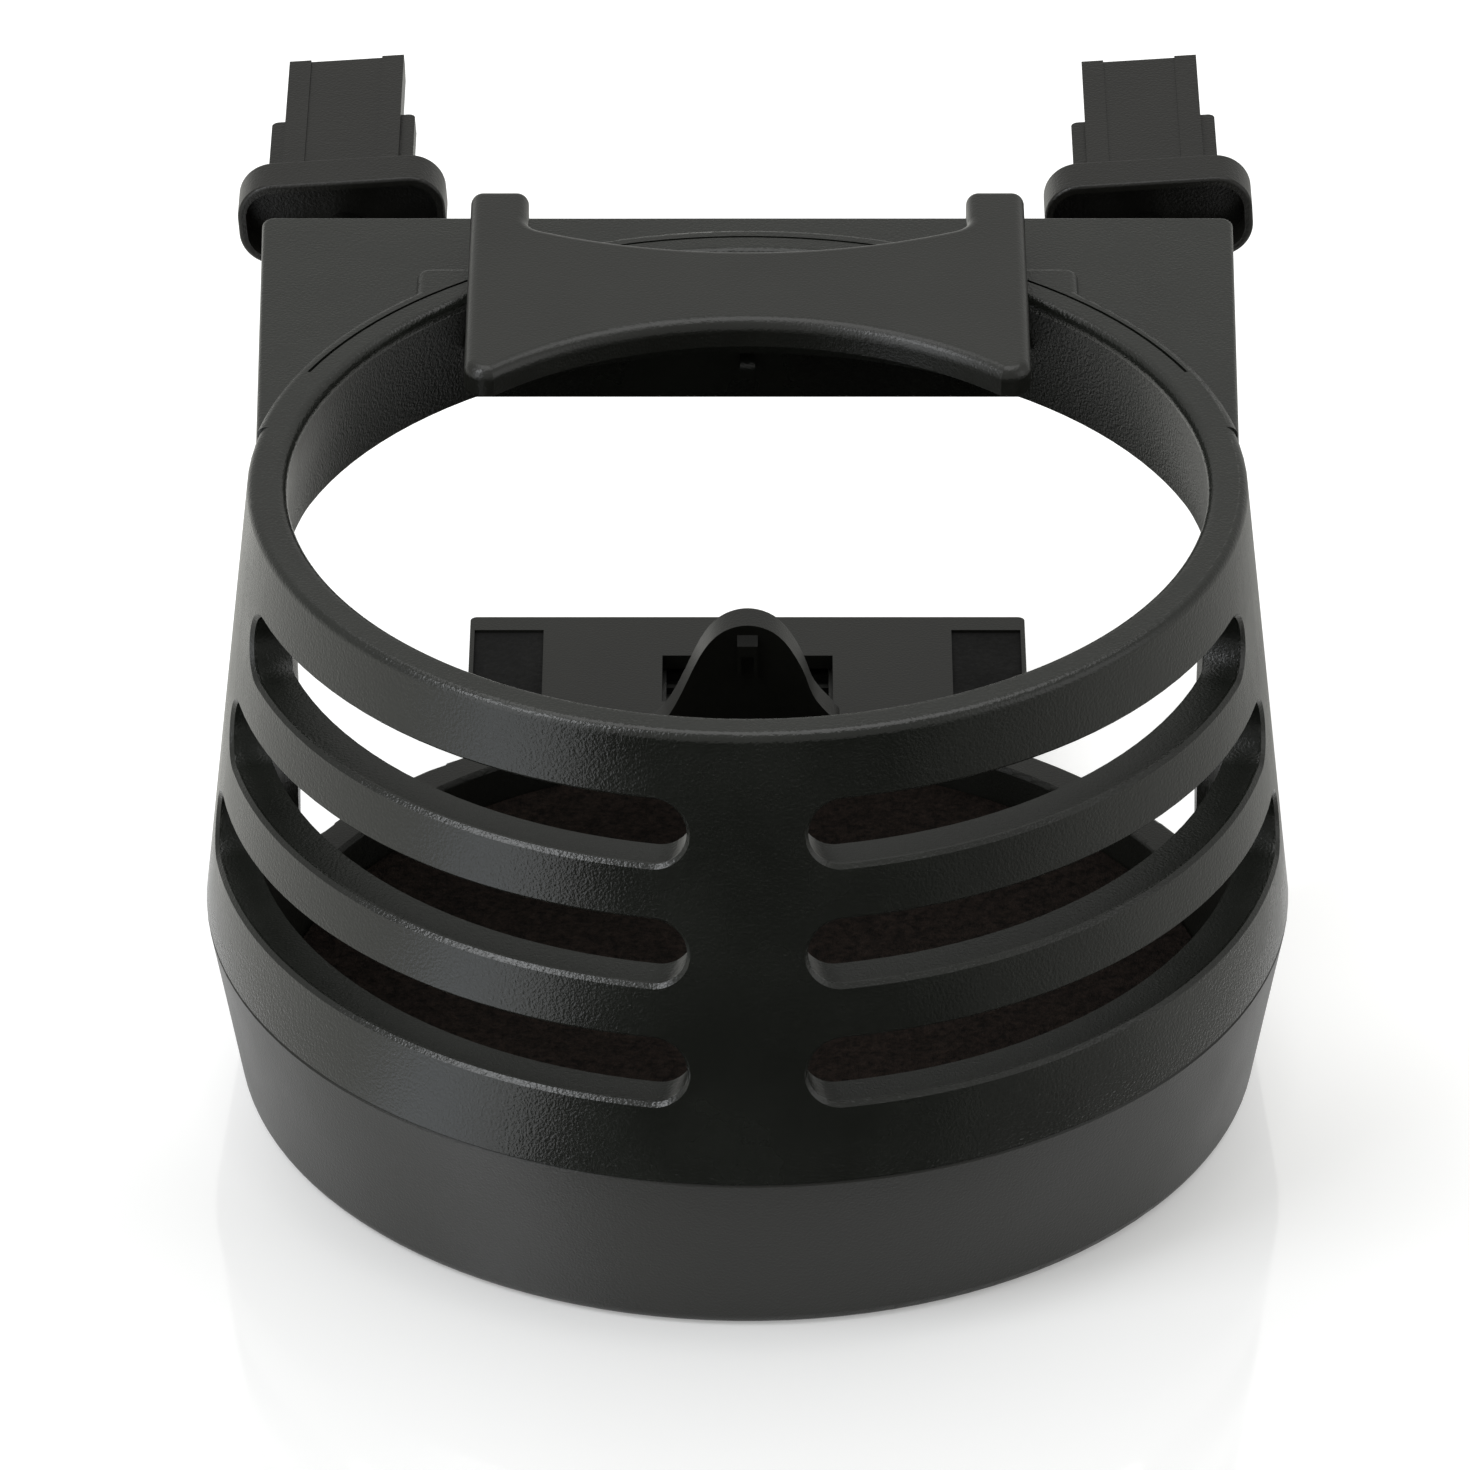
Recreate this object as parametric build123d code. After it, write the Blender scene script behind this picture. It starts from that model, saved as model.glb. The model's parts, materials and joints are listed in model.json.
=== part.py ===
"""Air-vent cup holder: slotted cup shell, base, sliding presser, sliding stay and two vent clips.

Millimetres. Origin at the centre of the base's underside, +Z up, +Y toward the dashboard.
"""
import os
from math import asin, degrees, sqrt

from build123d import *

# Cup well
RIM_Z = 61.6
RIM_INNER_R = 42.0
WALL = 3.7
FLARE = 0.11
RIM_OUTER_ROUND = 0.9
RIM_INNER_ROUND = 1.0
BAND_H = 11.7
WINDOW_SPREAD = 0.75
WINDOW_ROUND = 2.0

# Fine groove and raised lip in the rear half of the rim
GROOVE_IN = 3.0
GROOVE_WIDTH = 0.3
GROOVE_DEPTH = 0.4
GROOVE_ARC = 130.0
LIP_SHIFT = 0.9
LIP_OUT = 0.2
LIP_ROUND = 0.9
LIP_ARC = 160.0

# Slots in the front wall
SLOT_H = 6.4
SLOT_DROP = 9.9
SLOT_PITCH = 11.75
SLOT_ENDS = (75.0, 81.0, 85.0)
SLOT_BAR = 10.8
SLOT_EDGE = 0.35

# Base
SPLIT_Z = 17.2
SPLIT_GROOVE = 0.18
BASE_SPREAD = 5.6
BASE_ROUND = 1.4
FLOOR_T = 2.2
REAR_RIM_Z = 6.8
REAR_RIM_ROUND = 0.5
SPIGOT_T = 1.3
SPIGOT_L = 3.8
SPIGOT_FIT = 0.05
SPIGOT_END_GAP = 0.2
PAD_T = 1.2
PAD_GAP = 0.2

# Bell-shaped tab on the rear rim: half width at each height above the base
TAB_POINTS = ((8.9, 7.2), (7.0, 9.8), (5.7, 12.7), (4.5, 15.3), (2.7, 17.5))
TAB_FOOT = (12.6, 5.8)
TAB_SUNK_Z = 4.0
TAB_TOP = 18.4
TAB_T = 3.3
CATCH_W = 2.0
CATCH_OUT = 0.8
CATCH_LOW = 13.0
CATCH_TOP = 17.3
CATCH_CAP = 2.0
CATCH_LEG = 0.4

# Deck and skirt
DECK_DROP = 1.0
DECK_T = 2.5
DECK_DRAFT = 0.03
DECK_FRONT_SPREAD = 3.1
DECK_REAR_SPREAD = 4.3
DECK_REACH = 8.8
DECK_CORNER = 1.2
DECK_EDGE = 0.5
SIDE_T = 2.2
SKIRT_T = 2.5
SKIRT_H = 18.4
SIDE_STEP = 15.3
LEDGE_W = 1.45
LEDGE_LIFT = 3.3
LEDGE_H = 1.55
LEDGE_OUT = 1.35
LEDGE_ROUND = 1.2
PLATFORM_INSET = 10.8
PLATFORM_SETBACK = 2.8
PLATFORM_ROUND = 1.2
PLATFORM_EDGE = 0.85

# Presser
PRESSER_HALF = 26.2
PRESSER_RISE = 4.7
PRESSER_T = 2.7
PRESSER_NOSE_IN = 31.0
NOSE_W = 2.8
PRESSER_HOLLOW_IN = 21.7
PRONG_OUT = 3.9
PRONG_W = 5.5
PRONG_ROOT_IN = 3.0
WAIST_IN = 7.7
PRESSER_CORNER = 2.2
PRONG_CORNER = 1.1
PRONG_ROOT_ROUND = 2.4
PRESSER_EDGE = 1.2
RUNNER_FRONT_IN = 13.0
RUNNER_INSET = 0.5
PRESSER_RIDE = 0.25

# Presser legs, their guide slots, shoes and screws
TRAVEL_GAP = 0.2
LEG_INSET = 3.6
LEG_IN = 6.6
LEG_W = 3.4
LEG_L = 4.6
LEG_SIDE_GAP = 0.2
SHOE_W = 6.0
SHOE_T = 2.6
SHOE_GAP = 0.2
SHOE_SIDE_GAP = 0.4
SHOE_LEAD = 2.5
EAR_W = 2.1
EAR_L = 1.28
EAR_GAP = 0.2
LEG_SCREW_R = 1.0
LEG_SCREW_L = 4.4
LEG_HEAD_R = 1.9
LEG_HEAD_T = 1.2
HOLE_FIT = 0.05
HEAD_FIT = 0.2

# Stay housing behind the base
HOUSE_HALF = 27.5
HOUSE_SUNK = 17.6
HOUSE_TOP = 6.4
HOUSE_ROUND = 0.7
HOUSE_FLOOR = 1.0
HOUSE_ROOF = 1.5
CORNER_PAD_W = 6.85
CORNER_PAD_SIDE = 0.45
CORNER_PAD_FRONT = 1.2
CORNER_PAD_REAR = 2.5
CORNER_PAD_SINK = 0.8
CORNER_PAD_T = 0.5
STAY_WINDOW_HALF = 8.4
STAY_WINDOW_FRONT = 1.0
STAY_WINDOW_REAR = 3.1

# Sliding stay
STAY_TRAVEL = 11.0
STAY_HALF = 16.5
STAY_SIDE_GAP = 0.3
STAY_GAP = 0.2
CHANNEL_WALL = 1.35
STAY_END_GAP = 0.4
BUMPER_T = 1.7
BUMPER_ROUND = 0.5
TRACK_HALF = 8.0
TRACK_WALL = 1.2
TRACK_DEPTH = 1.6
TOOTH_PITCH = 2.5
TOOTH_W = 0.7
TOOTH_H = 0.7
TOOTH_COUNT = 4
TOOTH_START = 1.2
STOP_L = 1.2
STOP_W = 6.0
STOP_DROP = 0.7

# Vent clips
CLIP_INSET = 7.3
CLIP_DROP = 9.4
CLIP_TILT = 4.0
BOSS_R = 4.8
BOSS_L = 4.2
SHAFT_R = 2.0
SHAFT_FIT = 0.05
SHAFT_END_OUT = 0.1
COLLAR_R = 3.6
COLLAR_L = 2.0
COLLAR_GAP = 0.25
FLANGE_UP = 2.7
FLANGE_W = 20.1
FLANGE_H = 8.7
FLANGE_T = 5.0
FLANGE_CORNER = 3.5
FLANGE_EDGE = 0.4
FLANGE_STANDOFF = 11.1
FLANGE_WALL = 0.8
FLANGE_HOLLOW = 3.2
JAW_W = 11.3
JAW_TOP = 4.0
JAW_T = 2.4
JAW_L = 21.2
JAW_TIP = 1.2
CHANNEL_W = 7.0
CHANNEL_DEPTH = 0.2
LOWER_JAW_W = 9.6
LOWER_JAW_L = 18.5
LOWER_JAW_T = 2.4
SHOULDER_OUT = 1.35
SHOULDER_L = 9.8
SHOULDER_TOP = 3.4
SHOULDER_ROUND = 0.7
FIN_GAP = 2.4
GRIP_T = 0.8
GRIP_W = 9.0
GRIP_L = 14.0
GRIP_START = 4.0
WASHER_R = 4.2
WASHER_T = 1.1
CLIP_SCREW_R = 1.25
CLIP_SCREW_L = 9.0
CLIP_HEAD_R = 2.6
CLIP_HEAD_T = 1.8
HOLE_SPARE = 0.4
DRIVE_W = 0.6
DRIVE_DEPTH = 0.7

# Heights that follow from the ones above
BIG = 80.0
BAND_LOW_Z = RIM_Z - BAND_H
SLOT_MIDS = [RIM_Z - SLOT_DROP - SLOT_PITCH * index for index in range(len(SLOT_ENDS))]
DECK_Z = RIM_Z - DECK_DROP
DECK_LOW_Z = DECK_Z - DECK_T
SKIRT_LOW_Z = DECK_Z - SKIRT_H
PRESSER_TOP = RIM_Z + PRESSER_RISE
PRESSER_LOW = RIM_Z + PRESSER_RIDE
PLATE_LOW = PRESSER_TOP - PRESSER_T
SHOE_TOP = DECK_LOW_Z - SHOE_GAP
SHOE_LOW = SHOE_TOP - SHOE_T
CHANNEL_TOP = HOUSE_TOP - HOUSE_ROOF
STAY_LOW = HOUSE_FLOOR + STAY_GAP
STAY_TOP = CHANNEL_TOP - STAY_GAP
CLIP_Z = DECK_Z - CLIP_DROP
JAW_LOW = JAW_TOP - JAW_T
LOWER_JAW_TOP = JAW_LOW - GRIP_T - FIN_GAP

# Shell and base, taken from the rim's inner radius
WINDOW_HALF = RIM_INNER_R + WINDOW_SPREAD
GROOVE_R = RIM_INNER_R + GROOVE_IN
LIP_R = RIM_INNER_R + WALL + LIP_OUT
BASE_R = RIM_INNER_R + BASE_SPREAD
SPLIT_R = RIM_INNER_R + WALL + FLARE * (RIM_Z - SPLIT_Z)
SPIGOT_IN_R = SPLIT_R - WALL
SPIGOT_OUT_R = SPIGOT_IN_R + SPIGOT_T
BASE_SLOPE = (SPLIT_R - BASE_R) / SPLIT_Z
DECK_FRONT_HALF = RIM_INNER_R + DECK_FRONT_SPREAD
DECK_REAR_HALF = RIM_INNER_R + DECK_REAR_SPREAD
DECK_REAR_Y = RIM_INNER_R + DECK_REACH
SKIRT_FRONT_Y = DECK_REAR_Y - SKIRT_T
SIDE_STEP_Y = SKIRT_FRONT_Y - SIDE_STEP
PLATFORM_HALF = RIM_INNER_R - PLATFORM_INSET
PLATFORM_REAR_Y = RIM_INNER_R - PLATFORM_SETBACK

# Presser, taken from its own width, the rim's inner radius and the skirt
PRESSER_HOLLOW_HALF = PRESSER_HALF - NOSE_W
PRONG_INNER = PRESSER_HALF - PRONG_W
LEG_X = PRESSER_HALF - LEG_INSET
PRESSER_FRONT_Y = RIM_INNER_R - PRESSER_NOSE_IN
PRESSER_HOLLOW_Y = RIM_INNER_R - PRESSER_HOLLOW_IN
PRONG_REAR_Y = RIM_INNER_R + PRONG_OUT
PRONG_ROOT_Y = RIM_INNER_R - PRONG_ROOT_IN
WAIST_REAR_Y = RIM_INNER_R - WAIST_IN
RUNNER_FRONT_Y = RIM_INNER_R - RUNNER_FRONT_IN
LEG_Y = RIM_INNER_R - LEG_IN
SHOE_FRONT_Y = LEG_Y - SHOE_LEAD
EAR_X = LEG_X + SHOE_W / 2 + SHOE_SIDE_GAP
RING_BACK_R = RIM_INNER_R + WALL + FLARE * (RIM_Z - SHOE_LOW)
EAR_FRONT_Y = sqrt(RING_BACK_R ** 2 - EAR_X ** 2) + EAR_GAP
SHOE_REAR_Y = EAR_FRONT_Y + EAR_L
PRESSER_TRAVEL = SKIRT_FRONT_Y - TRAVEL_GAP - SHOE_REAR_Y
LEG_SLOT_END_Y = LEG_Y + LEG_L / 2 + PRESSER_TRAVEL + TRAVEL_GAP

# Stay and its housing, in a row behind the base's wall
CHANNEL_FRONT_Y = BASE_R + BASE_SLOPE * CHANNEL_TOP + CHANNEL_WALL
STAY_FRONT_Y = CHANNEL_FRONT_Y + STAY_END_GAP
TRACK_FRONT_Y = STAY_FRONT_Y + TRACK_WALL
STOP_Y = TRACK_FRONT_Y + STAY_TRAVEL + TRAVEL_GAP
TRACK_REAR_Y = STOP_Y + STOP_L + TRAVEL_GAP
STAY_REAR_Y = TRACK_REAR_Y + TRACK_WALL
HOUSE_REAR_Y = STAY_REAR_Y + BUMPER_T
HOUSE_FRONT_Y = BASE_R - HOUSE_SUNK
STAY_WINDOW_FRONT_Y = CHANNEL_FRONT_Y + STAY_WINDOW_FRONT
STAY_WINDOW_REAR_Y = STOP_Y - STAY_WINDOW_REAR
CORNER_PAD_OUTER = HOUSE_HALF - CORNER_PAD_SIDE
CORNER_PAD_FRONT_Y = CHANNEL_FRONT_Y + CORNER_PAD_FRONT
CORNER_PAD_REAR_Y = HOUSE_REAR_Y - CORNER_PAD_REAR

# Clips, taken from the deck's rear corners
CLIP_X = DECK_REAR_HALF - CLIP_INSET
FLANGE_FRONT_Y = DECK_REAR_Y + FLANGE_STANDOFF
FLANGE_REAR_Y = FLANGE_FRONT_Y + FLANGE_T
JAW_ROOT_Y = FLANGE_REAR_Y - FLANGE_EDGE
BOSS_FRONT_Y = SKIRT_FRONT_Y - BOSS_L
SHAFT_END_Y = BOSS_FRONT_Y - SHAFT_END_OUT
WASHER_FRONT_Y = SHAFT_END_Y - WASHER_T


def outer_r(z):
    """Outside radius of the ring and front wall at a height."""
    return RIM_INNER_R + WALL + FLARE * (RIM_Z - z)


def inner_r(z):
    """Inside radius of the ring and front wall at a height."""
    return outer_r(z) - WALL


def base_r(z):
    """Outside radius of the base at a height."""
    return BASE_R + BASE_SLOPE * z


def section(points):
    """Closed outline in the radius and height plane."""
    return Plane.XZ * make_face(Polyline(*points, close=True))


def turned(outline):
    """Full turn of an outline about the well's axis, its seam at the rear."""
    return Rot(0, 0, 90) * revolve(outline, Axis.Z)


def block(x0, x1, y0, y1, z0, z1):
    """Box between two corners."""
    size = Box(x1 - x0, y1 - y0, z1 - z0)
    return Pos((x0 + x1) / 2, (y0 + y1) / 2, (z0 + z1) / 2) * size


def rod(radius, y0, y1, x=0.0, z=0.0):
    """Cylinder along Y."""
    return Pos(x, (y0 + y1) / 2, z) * Rot(90, 0, 0) * Cylinder(radius, y1 - y0)


def well(extra=0.0, low=0.0):
    """Solid filling the inside of the ring and wall, grown by a margin."""
    top = RIM_Z + 5
    return turned(section(((0, low), (inner_r(low) + extra, low), (inner_r(top) + extra, top), (0, top))))


def rear_cut(z0, z1, round_top):
    """Block that opens the rear of the wall, rounded along its top or its bottom edges."""
    cut = block(-WINDOW_HALF, WINDOW_HALF, 0, BIG, z0, z1)
    sides = cut.edges().filter_by(Axis.Y).group_by(Axis.Z)
    return fillet(sides[-1] if round_top else sides[0], WINDOW_ROUND)


# Body shell
def ring_and_wall():
    face = section((
        (inner_r(RIM_Z), RIM_Z),
        (outer_r(RIM_Z), RIM_Z),
        (SPLIT_R, SPLIT_Z),
        (SPIGOT_OUT_R, SPLIT_Z),
        (SPIGOT_OUT_R, SPLIT_Z - SPIGOT_L),
        (SPIGOT_IN_R, SPLIT_Z - SPIGOT_L),
        (SPIGOT_IN_R, SPLIT_Z),
    ))
    face = fillet(face.vertices().group_by(Axis.Z)[-1].sort_by(Axis.X)[0], RIM_INNER_ROUND)
    face = fillet(face.vertices().group_by(Axis.Z)[-1].sort_by(Axis.X)[-1], RIM_OUTER_ROUND)
    face = chamfer(face.vertices().group_by(Axis.X)[-1], SPLIT_GROOVE)
    return turned(face) - rear_cut(0, BAND_LOW_Z, True)


def wall_slot(mid, end):
    """One round-ended slot in the right half of the wall."""
    half = SLOT_H / 2
    radius = outer_r(mid)
    start_angle = degrees(asin((SLOT_BAR / 2 + half) / radius)) - 90
    end_angle = end - degrees(half / radius) - 90
    near = radius - 2 * WALL
    far = radius + WALL
    bar = section(((near, mid - half), (far, mid - half), (far, mid + half), (near, mid + half)))
    tool = Rot(0, 0, start_angle) * revolve(bar, Axis.Z, end_angle - start_angle)
    peg = Pos((near + far) / 2, 0, mid) * Rot(0, 90, 0) * Cylinder(half, far - near)
    return tool + Rot(0, 0, start_angle) * peg + Rot(0, 0, end_angle) * peg


def deck_plan(half_cut, rear_y, z):
    """Deck outline at a height, following the walls' draft."""
    grow = DECK_DRAFT * (DECK_Z - z) - half_cut
    front = DECK_FRONT_HALF + grow
    rear = DECK_REAR_HALF + grow
    outline = Polyline((-front, 0), (front, 0), (rear, rear_y), (-rear, rear_y), close=True)
    return Pos(0, 0, z) * make_face(outline)


def deck_box():
    """Deck with side walls and rear skirt, open below."""
    box = loft([deck_plan(0, DECK_REAR_Y, SKIRT_LOW_Z), deck_plan(0, DECK_REAR_Y, DECK_Z)], ruled=True)
    rear = box.faces().sort_by(Axis.Y)[-1]
    box = fillet(rear.edges().filter_by(Axis.X, reverse=True), DECK_CORNER)
    top = box.faces().sort_by(Axis.Z)[-1]
    box = fillet(top.edges().sort_by(Axis.Y)[1:], DECK_EDGE)
    low = SKIRT_LOW_Z - 1
    room_low = deck_plan(SIDE_T, SKIRT_FRONT_Y, low)
    room = loft([room_low, deck_plan(SIDE_T, SKIRT_FRONT_Y, DECK_LOW_Z)], ruled=True)
    step = Plane.YZ * make_face(Polyline(
        (-1, BAND_LOW_Z),
        (SIDE_STEP_Y, BAND_LOW_Z),
        (SKIRT_FRONT_Y, SKIRT_LOW_Z),
        (SKIRT_FRONT_Y, low),
        (-1, low),
        close=True,
    ))
    return box - room - extrude(step, BIG, both=True)


def platform():
    """Raised pad that carries the presser beside the rim."""
    pad = block(-PLATFORM_HALF, PLATFORM_HALF, 0, PLATFORM_REAR_Y, DECK_LOW_Z, RIM_Z)
    pad = fillet(pad.edges().filter_by(Axis.Z).group_by(Axis.Y)[-1], PLATFORM_ROUND)
    top = pad.faces().sort_by(Axis.Z)[-1]
    pad = fillet(top.edges().sort_by(Axis.Y)[1:], PLATFORM_EDGE)
    return pad - well(WALL / 2)


def guide_slot():
    """Stepped slot for one presser leg and its shoe."""
    neck = LEG_W / 2 + LEG_SIDE_GAP
    head = SHOE_W / 2 + SHOE_SIDE_GAP
    front = RIM_INNER_R / 2
    slot = block(LEG_X - neck, LEG_X + neck, front, LEG_SLOT_END_Y, SHOE_LOW, RIM_Z + 1)
    low = SHOE_LOW - SHOE_SIDE_GAP
    return slot + block(LEG_X - head, LEG_X + head, front, LEG_SLOT_END_Y, low, DECK_LOW_Z)


def both(tool):
    """The tool and its mirror image on the other side."""
    return [tool, mirror(tool, Plane.YZ)]


def soften_slots(shell):
    """Small chamfer along the outer edges of the slots."""
    edges = []
    for edge in shell.edges():
        mid = edge.position_at(0.5)
        radius = sqrt(mid.X ** 2 + mid.Y ** 2)
        near = any(abs(mid.Z - z) < SLOT_H / 2 + 0.01 for z in SLOT_MIDS)
        if near and mid.Y < 0 and abs(radius - outer_r(mid.Z)) < 0.02:
            edges.append(edge)
    return chamfer(edges, SLOT_EDGE)


def skirt_ledge():
    """Small ledge in the middle of the skirt's front, round on top."""
    front = SKIRT_FRONT_Y - LEDGE_OUT
    low = SKIRT_LOW_Z + LEDGE_LIFT
    ledge = block(-LEDGE_W / 2, LEDGE_W / 2, front, SKIRT_FRONT_Y + SKIRT_T / 2, low, low + LEDGE_H)
    return fillet(ledge.edges().filter_by(Axis.X).group_by(Axis.Z)[-1].sort_by(Axis.Y)[0], LEDGE_ROUND)


def rear_arc(outline, angle):
    """Turn an outline about the well's axis, the same way to both sides of the rear."""
    return Rot(0, 0, 90 - angle / 2) * revolve(outline, Axis.Z, angle)


def rim_lip():
    """Outward lip of the rim above the deck, widest at the rear."""
    inside = RIM_INNER_R + WALL / 2
    face = section(((inside, DECK_LOW_Z), (LIP_R, DECK_LOW_Z), (LIP_R, RIM_Z), (inside, RIM_Z)))
    outer = face.vertices().group_by(Axis.Z)[-1].sort_by(Axis.X)[-1]
    return Pos(0, LIP_SHIFT, 0) * rear_arc(fillet(outer, LIP_ROUND), LIP_ARC)


def rim_groove():
    near = GROOVE_R - GROOVE_WIDTH / 2
    far = GROOVE_R + GROOVE_WIDTH / 2
    low = RIM_Z - GROOVE_DEPTH
    outline = section(((near, low), (far, low), (far, RIM_Z + 1), (near, RIM_Z + 1)))
    return rear_arc(outline, GROOVE_ARC)


def body_shell():
    wall = ring_and_wall()
    for mid, end in zip(SLOT_MIDS, SLOT_ENDS):
        for tool in both(wall_slot(mid, end)):
            wall -= tool
    shell = soften_slots(wall)
    shell += deck_box() - well(WALL / 2)
    shell += platform()
    shell += skirt_ledge() + rim_lip()
    shell -= rim_groove()
    for tool in both(guide_slot()):
        shell -= tool
    for boss in both(rod(BOSS_R, BOSS_FRONT_Y, SKIRT_FRONT_Y, CLIP_X, CLIP_Z)):
        shell += boss
    for bore in both(rod(SHAFT_R + SHAFT_FIT, BOSS_FRONT_Y - 1, DECK_REAR_Y + 1, CLIP_X, CLIP_Z)):
        shell -= bore
    return shell


# Base
def base_bowl():
    rebate_r = SPIGOT_OUT_R + SPIGOT_FIT
    rebate_z = SPLIT_Z - SPIGOT_L - SPIGOT_END_GAP
    face = section((
        (0, 0),
        (BASE_R, 0),
        (SPLIT_R, SPLIT_Z),
        (rebate_r, SPLIT_Z),
        (rebate_r, rebate_z),
        (base_r(rebate_z) - WALL, rebate_z),
        (base_r(FLOOR_T) - WALL, FLOOR_T),
        (0, FLOOR_T),
    ))
    face = fillet(face.vertices().sort_by_distance((BASE_R, 0, 0))[0], BASE_ROUND)
    face = chamfer(face.vertices().group_by(Axis.X)[-1], SPLIT_GROOVE)
    bowl = turned(face) - rear_cut(REAR_RIM_Z, BIG, False)
    rim = bowl.faces().filter_by(Axis.Z).sort_by_distance((0, base_r(REAR_RIM_Z) - WALL / 2, REAR_RIM_Z))[0]
    arcs = rim.edges().filter_by(GeomType.CIRCLE)
    return fillet(arcs, REAR_RIM_ROUND)


def bowl_core():
    """Solid reaching from the axis to the middle of the base's wall."""
    low = -1
    return turned(section((
        (0, low),
        (base_r(low) - WALL / 2, low),
        (base_r(BIG) - WALL / 2, BIG),
        (0, BIG),
    )))


def rear_tab():
    """Bell-shaped tab that follows the rim's curve, with a small catch on its front."""
    right = [TAB_FOOT, *TAB_POINTS]
    left = [(-x, z) for x, z in right]
    bell = Spline(*left, (0, TAB_TOP), *reversed(right), tangents=((4, 1), (4, -1)))
    sunk = [(x, TAB_SUNK_Z) for x, z in (right[0], left[0])]
    foot = Polyline(right[0], *sunk, left[0])
    plate = extrude(Plane.XZ * make_face([bell, *foot.edges()]), BIG, dir=(0, 1, 0))
    outside = base_r(REAR_RIM_Z) - REAR_RIM_ROUND / 2
    band = Cylinder(outside, BIG) - Cylinder(outside - TAB_T, BIG)
    return (plate & band) + tab_catch(sqrt((outside - TAB_T) ** 2 - CATCH_W ** 2 / 4))


def tab_catch(tab_front):
    """Small catch in the shape of an arch, its top rising to the tab."""
    root = tab_front + TAB_T / 2
    front = tab_front - CATCH_OUT
    side = Plane.YZ * make_face(Polyline(
        (root, CATCH_LOW),
        (front, CATCH_LOW),
        (front, CATCH_TOP - CATCH_OUT),
        (tab_front, CATCH_TOP),
        (root, CATCH_TOP),
        close=True,
    ))
    catch = extrude(side, CATCH_W / 2, both=True)
    half = CATCH_W / 2 - CATCH_LEG
    return catch - block(-half, half, front - 1, tab_front, CATCH_LOW - 1, CATCH_TOP - CATCH_CAP)


def stay_house():
    """Flat housing behind the base: channel for the stay, window above it, two corner recesses."""
    house = block(-HOUSE_HALF, HOUSE_HALF, HOUSE_FRONT_Y, HOUSE_REAR_Y, 0, HOUSE_TOP)
    house = fillet(house.edges().filter_by(Axis.Z).group_by(Axis.Y)[-1], HOUSE_ROUND)
    side = STAY_HALF + STAY_SIDE_GAP
    house -= block(-side, side, CHANNEL_FRONT_Y, HOUSE_REAR_Y + 1, HOUSE_FLOOR, CHANNEL_TOP)
    half = STAY_WINDOW_HALF
    house -= block(-half, half, STAY_WINDOW_FRONT_Y, STAY_WINDOW_REAR_Y, CHANNEL_TOP - 1, HOUSE_TOP + 1)
    for tool in both(corner_recess(HOUSE_TOP - CORNER_PAD_SINK, HOUSE_TOP + 1)):
        house -= tool
    stop = block(-STOP_W / 2, STOP_W / 2, STOP_Y, STOP_Y + STOP_L, CHANNEL_TOP - STOP_DROP, CHANNEL_TOP)
    return house + stop - bowl_core()


def corner_recess(z0, z1):
    """Square field near the housing's right rear corner."""
    inner = CORNER_PAD_OUTER - CORNER_PAD_W
    return block(inner, CORNER_PAD_OUTER, CORNER_PAD_FRONT_Y, CORNER_PAD_REAR_Y, z0, z1)


def corner_pad():
    low = HOUSE_TOP - CORNER_PAD_SINK
    return corner_recess(low, low + CORNER_PAD_T)


def base_cup():
    return base_bowl() + rear_tab() + stay_house()


def floor_pad():
    radius = base_r(FLOOR_T) - WALL - PAD_GAP
    return Pos(0, 0, FLOOR_T + PAD_T / 2) * Cylinder(radius, PAD_T)


# Presser
def presser_plan():
    """Waisted plate with two rear prongs."""
    hollow = PRESSER_HOLLOW_HALF
    front = ThreePointArc((-hollow, PRESSER_FRONT_Y), (0, PRESSER_HOLLOW_Y), (hollow, PRESSER_FRONT_Y))
    right = Polyline(
        (hollow, PRESSER_FRONT_Y),
        (PRESSER_HALF, PRESSER_FRONT_Y),
        (PRESSER_HALF, PRONG_REAR_Y),
        (PRONG_INNER, PRONG_REAR_Y),
        (PRONG_INNER, PRONG_ROOT_Y),
    )
    waist = ThreePointArc((PRONG_INNER, PRONG_ROOT_Y), (0, WAIST_REAR_Y), (-PRONG_INNER, PRONG_ROOT_Y))
    face = make_face([front, *right.edges(), waist, *mirror(right, Plane.YZ).edges()])
    nose = face.vertices().group_by(Axis.Y)[0].sort_by(Axis.X)
    face = fillet([nose[0], nose[-1]], PRESSER_CORNER)
    ends = face.vertices().group_by(Axis.Y)[-1]
    face = fillet(ends, PRONG_CORNER)
    roots = face.vertices().filter_by_position(Axis.X, -PRONG_INNER - 0.1, PRONG_INNER + 0.1)
    roots = roots.filter_by_position(Axis.Y, PRONG_ROOT_Y - 0.1, PRONG_ROOT_Y + 0.1)
    return fillet(roots, PRONG_ROOT_ROUND)


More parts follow.
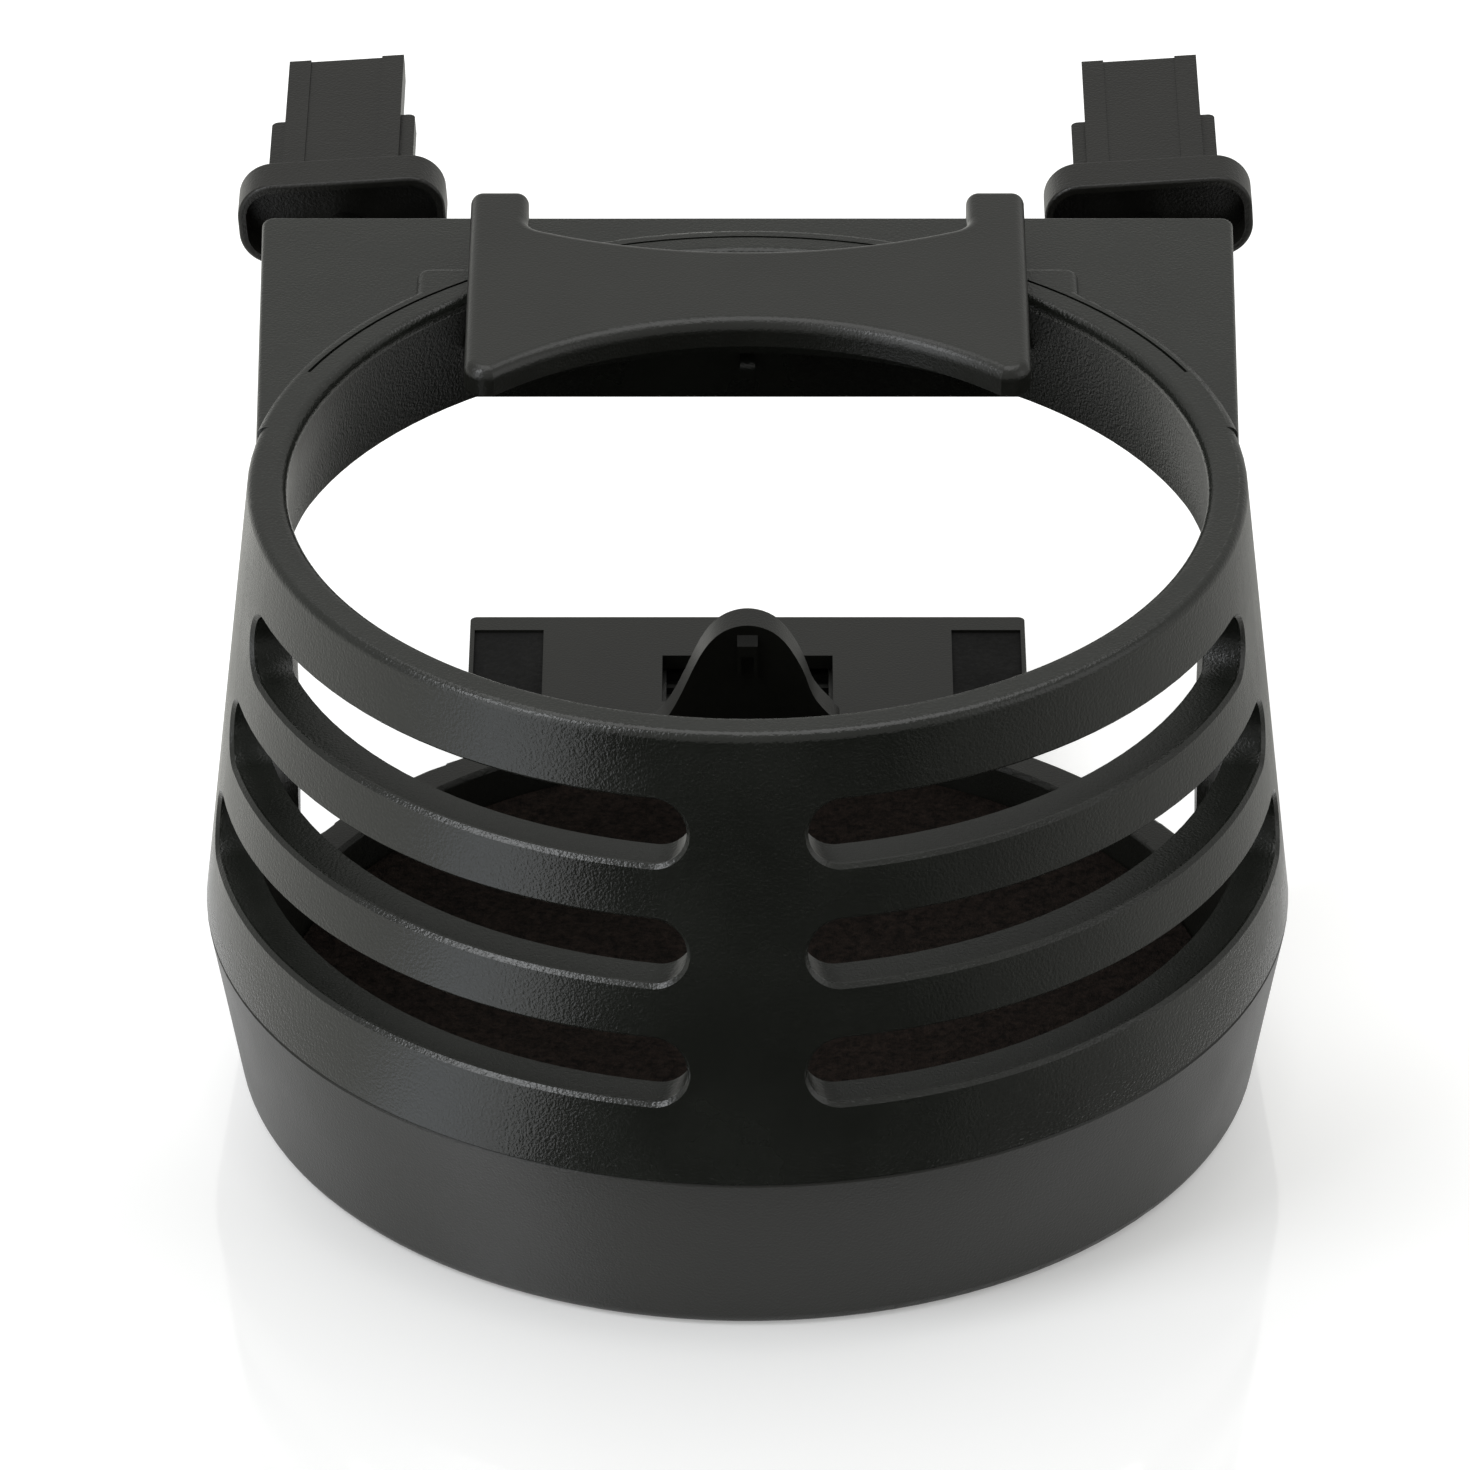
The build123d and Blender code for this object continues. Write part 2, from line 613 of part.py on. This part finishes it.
def cup_presser():
    plate = extrude(Pos(0, 0, PLATE_LOW) * presser_plan(), PRESSER_T, dir=(0, 0, 1))
    plate = fillet(plate.faces().sort_by(Axis.Z)[-1].edges(), PRESSER_EDGE)
    inner = PRONG_INNER + RUNNER_INSET
    outer = PRESSER_HALF - RUNNER_INSET
    runner = block(inner, outer, RUNNER_FRONT_Y, PRONG_REAR_Y - PRONG_CORNER, PRESSER_LOW, PLATE_LOW)
    leg = Pos(LEG_X, LEG_Y, (SHOE_TOP + PLATE_LOW) / 2) * Box(LEG_W, LEG_L, PLATE_LOW - SHOE_TOP)
    hole_top = SHOE_LOW + LEG_HEAD_T + HEAD_FIT + LEG_SCREW_L + HOLE_SPARE
    hole_mid = (hole_top + SHOE_LOW) / 2
    hole = Pos(LEG_X, LEG_Y, hole_mid) * Cylinder(LEG_SCREW_R + HOLE_FIT, hole_top - SHOE_LOW)
    for tool in both(runner) + both(leg):
        plate += tool
    for tool in both(hole):
        plate -= tool
    return plate


def presser_shoe():
    """Right-hand shoe: passes through the ring, its ear stops on the ring's back."""
    half = SHOE_W / 2
    shoe = block(LEG_X - half, LEG_X + half, SHOE_FRONT_Y, SHOE_REAR_Y, SHOE_LOW, SHOE_TOP)
    shoe += block(LEG_X, EAR_X + EAR_W, EAR_FRONT_Y, SHOE_REAR_Y, SHOE_LOW, SHOE_TOP)
    seat = LEG_HEAD_T + HEAD_FIT
    shoe -= Pos(LEG_X, LEG_Y, SHOE_LOW + seat / 2) * Cylinder(LEG_HEAD_R + HEAD_FIT, seat)
    return shoe - Pos(LEG_X, LEG_Y, SHOE_TOP) * Cylinder(LEG_SCREW_R + HOLE_FIT, 2 * SHOE_T)


def cross_head_screw(head_r, head_t, shank_r, shank_l):
    """Screw along +Z, head underside at zero, cross recess in the head."""
    head = Pos(0, 0, -head_t / 2) * Cylinder(head_r, head_t)
    screw = head + Pos(0, 0, shank_l / 2) * Cylinder(shank_r, shank_l)
    bar = Box(1.3 * head_r, DRIVE_W, 2 * DRIVE_DEPTH)
    recess = Pos(0, 0, -head_t) * (bar + Rot(0, 0, 90) * bar)
    return screw - recess


def presser_screws():
    screw = cross_head_screw(LEG_HEAD_R, LEG_HEAD_T, LEG_SCREW_R, LEG_SCREW_L)
    seat_z = SHOE_LOW + LEG_HEAD_T + HEAD_FIT
    return Compound(children=[Pos(side * LEG_X, LEG_Y, seat_z) * screw for side in (1, -1)])


# Stay
def support_stay():
    stay = block(-STAY_HALF, STAY_HALF, STAY_FRONT_Y, STAY_REAR_Y, STAY_LOW, STAY_TOP)
    track_low = STAY_TOP - TRACK_DEPTH
    stay -= block(-TRACK_HALF, TRACK_HALF, TRACK_FRONT_Y, TRACK_REAR_Y, track_low, STAY_TOP + 1)
    for index in range(TOOTH_COUNT):
        y = TRACK_FRONT_Y + TOOTH_START + index * TOOTH_PITCH
        stay += block(-TRACK_HALF, TRACK_HALF, y, y + TOOTH_W, track_low, track_low + TOOTH_H)
    return stay


def stay_bumper():
    strip = block(-STAY_HALF, STAY_HALF, STAY_REAR_Y, STAY_REAR_Y + BUMPER_T, STAY_LOW, STAY_TOP)
    return fillet(strip.edges().filter_by(Axis.Z).group_by(Axis.Y)[-1], BUMPER_ROUND)


# Vent clips, modelled on the swivel axis and then set in place
def set_clip(piece, side):
    return Pos(side * CLIP_X, 0, CLIP_Z) * Rot(0, -CLIP_TILT, 0) * piece


def flange_plan(shrink):
    """Rounded rectangle of the flange, made smaller all round."""
    plan = RectangleRounded(FLANGE_W - 2 * shrink, FLANGE_H - 2 * shrink, FLANGE_CORNER - shrink)
    return Plane.XZ.offset(-FLANGE_FRONT_Y) * Pos(0, FLANGE_UP) * plan


def clip_flange():
    """Cap-shaped flange, hollow toward the deck."""
    flange = extrude(flange_plan(0), -FLANGE_T)
    flange = fillet(flange.faces().filter_by(Axis.Y).edges(), FLANGE_EDGE)
    return flange - extrude(flange_plan(FLANGE_WALL), -FLANGE_HOLLOW)


def jaw_bar(half, length, low, top):
    """Straight bar behind the flange, heights taken from the flange's middle."""
    return block(-half, half, JAW_ROOT_Y, FLANGE_REAR_Y + length, FLANGE_UP + low, FLANGE_UP + top)


def upper_jaw():
    jaw = jaw_bar(JAW_W / 2, JAW_L, JAW_LOW, JAW_TOP)
    jaw = chamfer(jaw.edges().filter_by(Axis.X).group_by(Axis.Y)[-1].group_by(Axis.Z)[0], JAW_TIP)
    lane = jaw_bar(CHANNEL_W / 2, JAW_L + 1, JAW_TOP - CHANNEL_DEPTH, JAW_TOP + 1)
    return jaw - lane


def lower_jaw():
    jaw = jaw_bar(LOWER_JAW_W / 2, LOWER_JAW_L, LOWER_JAW_TOP - LOWER_JAW_T, LOWER_JAW_TOP)
    return chamfer(jaw.edges().filter_by(Axis.X).group_by(Axis.Y)[-1].group_by(Axis.Z)[-1], JAW_TIP)


def jaw_shoulders():
    """Short plate that stands out on both sides of the upper jaw's root."""
    plate = jaw_bar(JAW_W / 2 + SHOULDER_OUT, SHOULDER_L, JAW_LOW, SHOULDER_TOP)
    return fillet(plate.edges().filter_by(Axis.Z).group_by(Axis.Y)[-1], SHOULDER_ROUND)


def vent_clip():
    clip = clip_flange() + upper_jaw() + jaw_shoulders() + lower_jaw()
    collar_y = DECK_REAR_Y + COLLAR_GAP
    clip += rod(COLLAR_R, collar_y, collar_y + COLLAR_L)
    clip += rod(SHAFT_R, SHAFT_END_Y, FLANGE_REAR_Y - FLANGE_WALL)
    hole_end = WASHER_FRONT_Y + CLIP_SCREW_L + HOLE_SPARE
    return clip - rod(CLIP_SCREW_R + HOLE_FIT, SHAFT_END_Y - 1, hole_end)


def jaw_pad():
    start = FLANGE_REAR_Y + GRIP_START
    top = FLANGE_UP + JAW_LOW
    return block(-GRIP_W / 2, GRIP_W / 2, start, start + GRIP_L, top - GRIP_T, top)


def swivel_washer():
    disc = rod(WASHER_R, WASHER_FRONT_Y, SHAFT_END_Y)
    return disc - rod(CLIP_SCREW_R + HOLE_FIT, WASHER_FRONT_Y - 1, SHAFT_END_Y + 1)


def swivel_screw():
    screw = cross_head_screw(CLIP_HEAD_R, CLIP_HEAD_T, CLIP_SCREW_R, CLIP_SCREW_L)
    return Pos(0, WASHER_FRONT_Y, 0) * Rot(-90, 0, 0) * screw


def build_nodes():
    nodes = {
        "body_shell": body_shell(),
        "base_cup": base_cup(),
        "floor_pad": floor_pad(),
        "cup_presser": cup_presser(),
        "presser_shoe_right": presser_shoe(),
        "presser_shoe_left": mirror(presser_shoe(), Plane.YZ),
        "presser_screws": presser_screws(),
        "support_stay": support_stay(),
        "stay_bumper": stay_bumper(),
        "corner_pad_right": corner_pad(),
        "corner_pad_left": mirror(corner_pad(), Plane.YZ),
    }
    for name, side in (("left", -1), ("right", 1)):
        nodes["vent_clip_" + name] = set_clip(vent_clip(), side)
        nodes["jaw_pad_" + name] = set_clip(jaw_pad(), side)
        nodes["swivel_washer_" + name] = set_clip(swivel_washer(), side)
        nodes["swivel_screw_" + name] = set_clip(swivel_screw(), side)
    return nodes


os.makedirs("parts", exist_ok=True)
for node_name, solid in build_nodes().items():
    export_step(solid, os.path.join("parts", node_name + ".step"))
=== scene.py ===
import json
import math

import bpy
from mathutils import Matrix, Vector


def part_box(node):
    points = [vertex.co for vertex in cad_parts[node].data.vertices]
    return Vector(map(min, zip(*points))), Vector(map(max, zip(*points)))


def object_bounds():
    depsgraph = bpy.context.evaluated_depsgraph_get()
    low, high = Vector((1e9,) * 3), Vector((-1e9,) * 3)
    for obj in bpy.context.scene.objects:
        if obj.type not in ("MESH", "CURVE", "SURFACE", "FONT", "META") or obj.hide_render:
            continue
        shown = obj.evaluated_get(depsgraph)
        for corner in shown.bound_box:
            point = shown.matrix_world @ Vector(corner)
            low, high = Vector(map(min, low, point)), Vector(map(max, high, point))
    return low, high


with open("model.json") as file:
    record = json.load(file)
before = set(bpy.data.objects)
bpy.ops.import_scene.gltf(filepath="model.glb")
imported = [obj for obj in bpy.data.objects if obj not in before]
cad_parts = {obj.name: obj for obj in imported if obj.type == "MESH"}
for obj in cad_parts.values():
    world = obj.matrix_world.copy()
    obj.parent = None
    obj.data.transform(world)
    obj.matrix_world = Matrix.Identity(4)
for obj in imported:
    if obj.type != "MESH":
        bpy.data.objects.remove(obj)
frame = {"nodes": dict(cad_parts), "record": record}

nodes = frame["nodes"]
scene = bpy.context.scene

# Box of the CAD model
CAD_LOW, CAD_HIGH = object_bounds()

# Camera fitted to the photograph, lengths in metres and image sizes in pixels
IMAGE_SIDE = 1470
FOCAL_PX = 10930.0
SENSOR_MM = 36.0
CAMERA_DISTANCE = 1.0
CAMERA_ELEVATION = math.radians(30.15)
AIM_PX = (747.5, 474.7)
CLIP_NEAR, CLIP_FAR = 0.01, 50

# Outer wall of the shell: its radius at the ring's top, what it gains per metre below,
# and how far below wall and top the outside's full gloss still goes before the painted shade inside
# begins
RING_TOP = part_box("body_shell")[1].z
RING_R = 0.0457
WALL_LEAN = 0.11
WALL_SKIN = 0.0006
TOP_SKIN = 0.0012

# Inner faces of the shell, painted shade: their share of the outside's gloss, and how much rougher they
# are
INSIDE_GLOSS = 0.8
INSIDE_ROUGHER = 0.1

# Black plastics by the record's slot: the two tones of the plastic, its mean roughness,
# the grain in cells per metre and metres of depth, and the gloss
PLASTICS = {
    "shell_plastic": dict(
        dark=(0.0064, 0.0073, 0.0056), light=(0.0089, 0.0101, 0.0079),
        rough=0.26, grain_scale=3600, grain_depth=0.000062, specular=0.5),
    "base_plastic": dict(
        dark=(0.0074, 0.0077, 0.006), light=(0.0103, 0.0107, 0.0084),
        rough=0.4, grain_scale=4400, grain_depth=0.000042, specular=0.41),
    "presser_plastic": dict(
        dark=(0.0077, 0.0081, 0.0066), light=(0.0101, 0.0106, 0.0087),
        rough=0.31, grain_scale=4100, grain_depth=0.00004, specular=0.47),
    "clip_plastic": dict(
        dark=(0.0071, 0.007, 0.0059), light=(0.0096, 0.0094, 0.008),
        rough=0.33, grain_scale=3600, grain_depth=0.00005, specular=0.35),
    "inner_plastic": dict(
        dark=(0.006, 0.0063, 0.0053), light=(0.0085, 0.0088, 0.0074),
        rough=0.36, grain_scale=4100, grain_depth=0.00004, specular=0.45),
}
FINE_GRAIN_RATIO = 2.1
ROUGH_BELOW, ROUGH_ABOVE = 0.03, 0.04

# Felt, rubbers and plated steels: their darker and lighter tones
FELT_TONES = (0.0055, 0.0045, 0.0038), (0.027, 0.019, 0.0155)
RUBBER_TONES = {
    "corner_rubber": ((0.005, 0.005, 0.0048), (0.008, 0.008, 0.0077)),
    "grip_rubber": ((0.009, 0.009, 0.009), (0.015, 0.015, 0.0145)),
}
STEEL_COLOURS = {"screw_steel": (0.58, 0.57, 0.54), "washer_steel": (0.5, 0.5, 0.49)}
STEEL_SHADE = 0.72

# Band of values that noise seldom leaves
NOISE_BAND = (0.3, 0.7)

# Floor: pale and glossy, its glow rises between two places along Y
FLOOR_SIDE = 12.0
FLOOR_COLOUR = (0.9, 0.9, 0.9, 1)
FLOOR_ROUGH = 0.06
FLOOR_IOR = 2.3
FLOOR_GLOW = (0.25, 0.47)
GLOW_PLACES = (-0.034, 0.012)
WHITE = (1, 1, 1, 1)

# Even light from all round
WORLD_FILL = 0.5
WORLD_COLOUR = (1.0, 1.0, 0.965, 1)

# Cards just above the floor: name, first and last angle in degrees from the front, level, colour
CARD_NEAR, CARD_FAR = 0.07, 1.4
CARD_LIFT = 0.0004
CARD_STEP = 4
CARD_WARM, CARD_COOL = (1, 1, 0.95, 1), (0.91, 0.95, 1, 1)
FLOOR_CARDS = (
    ("front_card", -33, 34, 0.04, CARD_WARM),
    ("left_card_far", -180, -58, 0.9, CARD_WARM),
    ("left_card", -58, -43, 1.75, CARD_COOL),
    ("right_card_near", 34, 52, 0.2, CARD_WARM),
    ("right_card_mid", 52, 68, 0.38, CARD_WARM),
    ("right_card_far", 68, 180, 0.55, CARD_WARM),
)

# Lamps: name, azimuth from the front toward +X and elevation in degrees, distance, size,
# power in watts, colour
LAMP_AIM = Vector((0, 0.01, 0.035))
SOFTBOXES = (
    ("top_box", 170, 78, 0.9, (0.9, 0.7), 3.2, (1, 1, 1)),
    ("left_box", -52, 18, 0.9, (0.5, 0.6), 1.6, (0.93, 0.96, 1.0)),
    ("left_high", -62, 50, 0.9, (0.32, 0.32), 2.2, (0.95, 0.97, 1.0)),
    ("right_box", 75, 22, 1.0, (0.7, 0.7), 1.0, (1, 1, 1)),
)


# Shader helpers
def new_material(name):
    """Material with a principled shader, its tree and the shader."""
    material = bpy.data.materials.new(name)
    material.use_nodes = True
    tree = material.node_tree
    return material, tree, tree.nodes["Principled BSDF"]


def feed(tree, socket, value):
    """Input socket linked to another node's output or set to a plain value."""
    if isinstance(value, bpy.types.NodeSocket):
        tree.links.new(value, socket)
    else:
        socket.default_value = value


def set_inputs(tree, node, **values):
    """Inputs of a node by name, with _ for each space."""
    for name, value in values.items():
        feed(tree, node.inputs[name.replace("_", " ")], value)


def add_node(tree, kind, **values):
    """A node with some of its inputs set."""
    node = tree.nodes.new(kind)
    set_inputs(tree, node, **values)
    return node


def math_node(tree, operation, first, second, third=0.0):
    """Result of one sum, each term a socket or a plain number."""
    node = tree.nodes.new("ShaderNodeMath")
    node.operation = operation
    for place, term in enumerate((first, second, third)):
        feed(tree, node.inputs[place], term)
    return node.outputs["Value"]


def object_place(tree):
    """Place on the piece, in its own coordinates."""
    return tree.nodes.new("ShaderNodeTexCoord").outputs["Object"]


def object_axes(tree):
    """X, Y and Z of the place on the piece."""
    axes = add_node(tree, "ShaderNodeSeparateXYZ", Vector=object_place(tree))
    return [axes.outputs[axis] for axis in "XYZ"]


def object_noise(tree, scale, detail, roughness=0.5, stretch=(1, 1, 1)):
    """Noise fixed to the piece, scale in cycles per metre."""
    mapping = add_node(tree, "ShaderNodeMapping", Vector=object_place(tree), Scale=stretch)
    noise = add_node(
        tree, "ShaderNodeTexNoise",
        Vector=mapping.outputs["Vector"], Scale=scale, Detail=detail, Roughness=roughness)
    return noise.outputs["Fac"]


def ramp(tree, value, low, high, start=0.35, stop=0.65):
    """Colour between two colours by a value."""
    node = add_node(tree, "ShaderNodeValToRGB", Fac=value)
    first, last = node.color_ramp.elements
    first.position, first.color = start, (*low, 1)
    last.position, last.color = stop, (*high, 1)
    return node.outputs["Color"]


def span(tree, value, low, high, band=NOISE_BAND, shape="LINEAR"):
    """Value within a band carried over to a range."""
    node = add_node(
        tree, "ShaderNodeMapRange",
        Value=value, From_Min=band[0], From_Max=band[1], To_Min=low, To_Max=high)
    node.interpolation_type = shape
    return node.outputs["Result"]


def bump(tree, height, depth, strength, **under):
    """Normal of a height field, depth in metres, over another Normal if one is given."""
    node = add_node(tree, "ShaderNodeBump", Height=height, Distance=depth, Strength=strength, **under)
    return node.outputs["Normal"]


# Materials
def moulded_plastic(name, dark, light, rough, grain_scale, grain_depth, specular):
    """Black moulded plastic: speckled grain in two sizes, cloudy tone and gloss."""
    material, tree, shader = new_material(name)
    cloud = object_noise(tree, scale=90, detail=4)
    grain = object_noise(tree, scale=grain_scale, detail=1)
    fine = object_noise(tree, scale=grain_scale * FINE_GRAIN_RATIO, detail=0)
    normal = bump(tree, grain, depth=grain_depth, strength=0.8)
    set_inputs(
        tree, shader,
        Base_Color=ramp(tree, cloud, dark, light),
        Roughness=span(tree, cloud, rough - ROUGH_BELOW, rough + ROUGH_ABOVE),
        Normal=bump(tree, fine, depth=grain_depth / 3, strength=0.5, Normal=normal),
        Specular_IOR_Level=specular)
    return material


def inside_wall(tree):
    """1 on the inner faces and slot edges of the shell, 0 on its outside and top."""
    x, y, z = object_axes(tree)
    squares = math_node(tree, "MULTIPLY_ADD", x, x, math_node(tree, "MULTIPLY", y, y))
    radius = math_node(tree, "POWER", squares, 0.5)
    wall = math_node(tree, "MULTIPLY_ADD", z, -WALL_LEAN, RING_R + WALL_LEAN * RING_TOP)
    within = math_node(tree, "LESS_THAN", radius, math_node(tree, "SUBTRACT", wall, WALL_SKIN))
    below = math_node(tree, "LESS_THAN", z, RING_TOP - TOP_SKIN)
    return math_node(tree, "MULTIPLY", within, below)


def painted_shade_inside(material):
    """Painted shade: less gloss on the shell's inner faces, which darkens the well and the slots."""
    tree = material.node_tree
    shader = tree.nodes["Principled BSDF"]
    inside = inside_wall(tree)
    outer_gloss = shader.inputs["Specular IOR Level"].default_value
    outer_rough = shader.inputs["Roughness"].links[0].from_socket
    loss = outer_gloss * (INSIDE_GLOSS - 1)
    set_inputs(
        tree, shader,
        Specular_IOR_Level=math_node(tree, "MULTIPLY_ADD", inside, loss, outer_gloss),
        Roughness=math_node(tree, "MULTIPLY_ADD", inside, INSIDE_ROUGHER, outer_rough))


def felt(name):
    """Dark brownish felt with short fibres."""
    material, tree, shader = new_material(name)
    tufts = object_noise(tree, scale=1300, detail=4, roughness=0.75)
    fibres = object_noise(tree, scale=2600, detail=3, roughness=0.7, stretch=(1, 0.25, 1))
    normal = bump(tree, tufts, depth=0.0006, strength=0.8)
    set_inputs(
        tree, shader,
        Base_Color=ramp(tree, tufts, *FELT_TONES, start=0.36, stop=0.7),
        Normal=bump(tree, fibres, depth=0.0002, strength=0.7, Normal=normal),
        Roughness=1.0,
        Specular_IOR_Level=0.1)
    return material


def rubber(name, dark, light):
    """Matt rubber with a powdery surface."""
    material, tree, shader = new_material(name)
    cloud = object_noise(tree, scale=160, detail=4)
    pores = object_noise(tree, scale=1900, detail=3, roughness=0.6)
    set_inputs(
        tree, shader,
        Base_Color=ramp(tree, cloud, dark, light),
        Roughness=span(tree, pores, low=0.7, high=0.9),
        Normal=bump(tree, pores, depth=0.0002, strength=0.5),
        Specular_IOR_Level=0.18)
    return material


def plated_steel(name, colour):
    """Zinc-plated steel with faint turning marks."""
    material, tree, shader = new_material(name)
    marks = object_noise(tree, scale=1500, detail=3, roughness=0.6, stretch=(1, 0.08, 1))
    cloud = object_noise(tree, scale=400, detail=3)
    shade = tuple(STEEL_SHADE * c for c in colour)
    set_inputs(
        tree, shader,
        Base_Color=ramp(tree, cloud, shade, colour),
        Roughness=span(tree, marks, low=0.24, high=0.42),
        Normal=bump(tree, marks, depth=0.00008, strength=0.4),
        Metallic=1.0)
    return material


def dress_pieces():
    """Each piece in the material of its slot in the record."""
    looks = {slot: moulded_plastic(slot, **values) for slot, values in PLASTICS.items()}
    looks["pad_felt"] = felt("pad_felt")
    looks.update((slot, rubber(slot, *tones)) for slot, tones in RUBBER_TONES.items())
    looks.update((slot, plated_steel(slot, colour)) for slot, colour in STEEL_COLOURS.items())
    # Painted shade: the shell's inner faces get less gloss than its outside
    painted_shade_inside(looks["shell_plastic"])
    for part in frame["record"]["subparts"]:
        mesh = nodes[part["node"]].data
        mesh.materials.clear()
        mesh.materials.append(looks[part["material_slot"]])


# Studio
def seen_rays(tree, strength):
    """A strength for rays that the camera sees directly, mirrored or through clear matter."""
    rays = tree.nodes.new("ShaderNodeLightPath").outputs
    seen = rays["Is Camera Ray"]
    for kind in ("Is Glossy Ray", "Is Transmission Ray"):
        seen = math_node(tree, "MAXIMUM", seen, rays[kind])
    return math_node(tree, "MULTIPLY", seen, strength)


def white_floor():
    """Pale glossy floor, white to the camera, that keeps shadow and reflection in front of the object."""
    bpy.ops.mesh.primitive_plane_add(size=FLOOR_SIDE, location=(0, 0, CAD_LOW.z))
    floor = bpy.context.object
    floor.name = "studio_floor"
    material, tree, shader = new_material("studio_floor")
    along = object_axes(tree)[1]
    glow = span(tree, along, *FLOOR_GLOW, band=GLOW_PLACES, shape="SMOOTHSTEP")
    set_inputs(
        tree, shader,
        Base_Color=FLOOR_COLOUR,
        Roughness=FLOOR_ROUGH,
        IOR=FLOOR_IOR,
        Emission_Color=WHITE,
        Emission_Strength=seen_rays(tree, glow))
    floor.data.materials.append(material)


def pale_world():
    """Even fill light from all round."""
    world = bpy.data.worlds.new("studio_world")
    scene.world = world
    world.use_nodes = True
    tree = world.node_tree
    set_inputs(tree, tree.nodes["Background"], Color=WORLD_COLOUR, Strength=WORLD_FILL)


def sector(name, start, stop):
    """Flat ring sector just above the floor, angles in degrees from the front."""
    steps = max(1, round((stop - start) / CARD_STEP))
    points = []
    for index in range(steps + 1):
        a = math.radians(start + (stop - start) * index / steps)
        for radius in (CARD_NEAR, CARD_FAR):
            points.append((radius * math.sin(a), -radius * math.cos(a), CAD_LOW.z + CARD_LIFT))
    faces = [(2 * i, 2 * i + 1, 2 * i + 3, 2 * i + 2) for i in range(steps)]
    mesh = bpy.data.meshes.new(name)
    mesh.from_pydata(points, [], faces)
    return mesh


def card_material(name, level, colour):
    """Glow on the upper side, clear from below."""
    material, tree, shader = new_material(name)
    tree.nodes.remove(shader)
    glow = add_node(tree, "ShaderNodeEmission", Strength=level, Color=colour)
    clear = tree.nodes.new("ShaderNodeBsdfTransparent")
    side = tree.nodes.new("ShaderNodeNewGeometry")
    either = add_node(tree, "ShaderNodeMixShader", Fac=side.outputs["Backfacing"])
    tree.links.new(glow.outputs["Emission"], either.inputs[1])
    tree.links.new(clear.outputs["BSDF"], either.inputs[2])
    set_inputs(tree, tree.nodes["Material Output"], Surface=either.outputs["Shader"])
    material.cycles.emission_sampling = "NONE"
    return material


def floor_card(name, start, stop, level, colour):
    """Card on the floor that only reflections from above see."""
    mesh = sector(name, start, stop)
    mesh.materials.append(card_material(name, level, colour))
    card = bpy.data.objects.new(name, mesh)
    card.visible_camera = False
    card.visible_diffuse = False
    card.visible_shadow = False
    card.visible_transmission = False
    scene.collection.objects.link(card)


def softbox(name, azimuth, elevation, distance, size, power, colour):
    """Rectangular lamp aimed at the cup well."""
    a, e = math.radians(azimuth), math.radians(elevation)
    away = Vector((math.sin(a) * math.cos(e), -math.cos(a) * math.cos(e), math.sin(e)))
    lamp = bpy.data.lights.new(name, "AREA")
    lamp.shape = "RECTANGLE"
    lamp.size, lamp.size_y = size
    lamp.energy = power
    lamp.color = colour
    body = bpy.data.objects.new(name, lamp)
    body.location = LAMP_AIM + away * distance
    body.rotation_euler = (-away).to_track_quat("-Z", "Y").to_euler()
    scene.collection.objects.link(body)


def photo_camera():
    """Camera at the photograph's viewing angle, aimed by the place of the ring's centre."""
    drop = math.atan((IMAGE_SIDE / 2 - AIM_PX[1]) / FOCAL_PX)
    data = bpy.data.cameras.new("photo_camera")
    data.sensor_width = SENSOR_MM
    data.lens = SENSOR_MM * FOCAL_PX / IMAGE_SIDE
    data.shift_x = (IMAGE_SIDE / 2 - AIM_PX[0]) / IMAGE_SIDE
    data.clip_start, data.clip_end = CLIP_NEAR, CLIP_FAR
    camera = bpy.data.objects.new("photo_camera", data)
    back = CAMERA_DISTANCE * math.cos(CAMERA_ELEVATION)
    rise = CAMERA_DISTANCE * math.sin(CAMERA_ELEVATION)
    camera.location = (0, -back, RING_TOP + rise)
    camera.rotation_euler = (math.pi / 2 - CAMERA_ELEVATION - drop, 0, 0)
    scene.collection.objects.link(camera)
    scene.camera = camera


dress_pieces()
white_floor()
pale_world()
for card_values in FLOOR_CARDS:
    floor_card(*card_values)
for lamp_values in SOFTBOXES:
    softbox(*lamp_values)
photo_camera()
scene.view_settings.view_transform = "Standard"
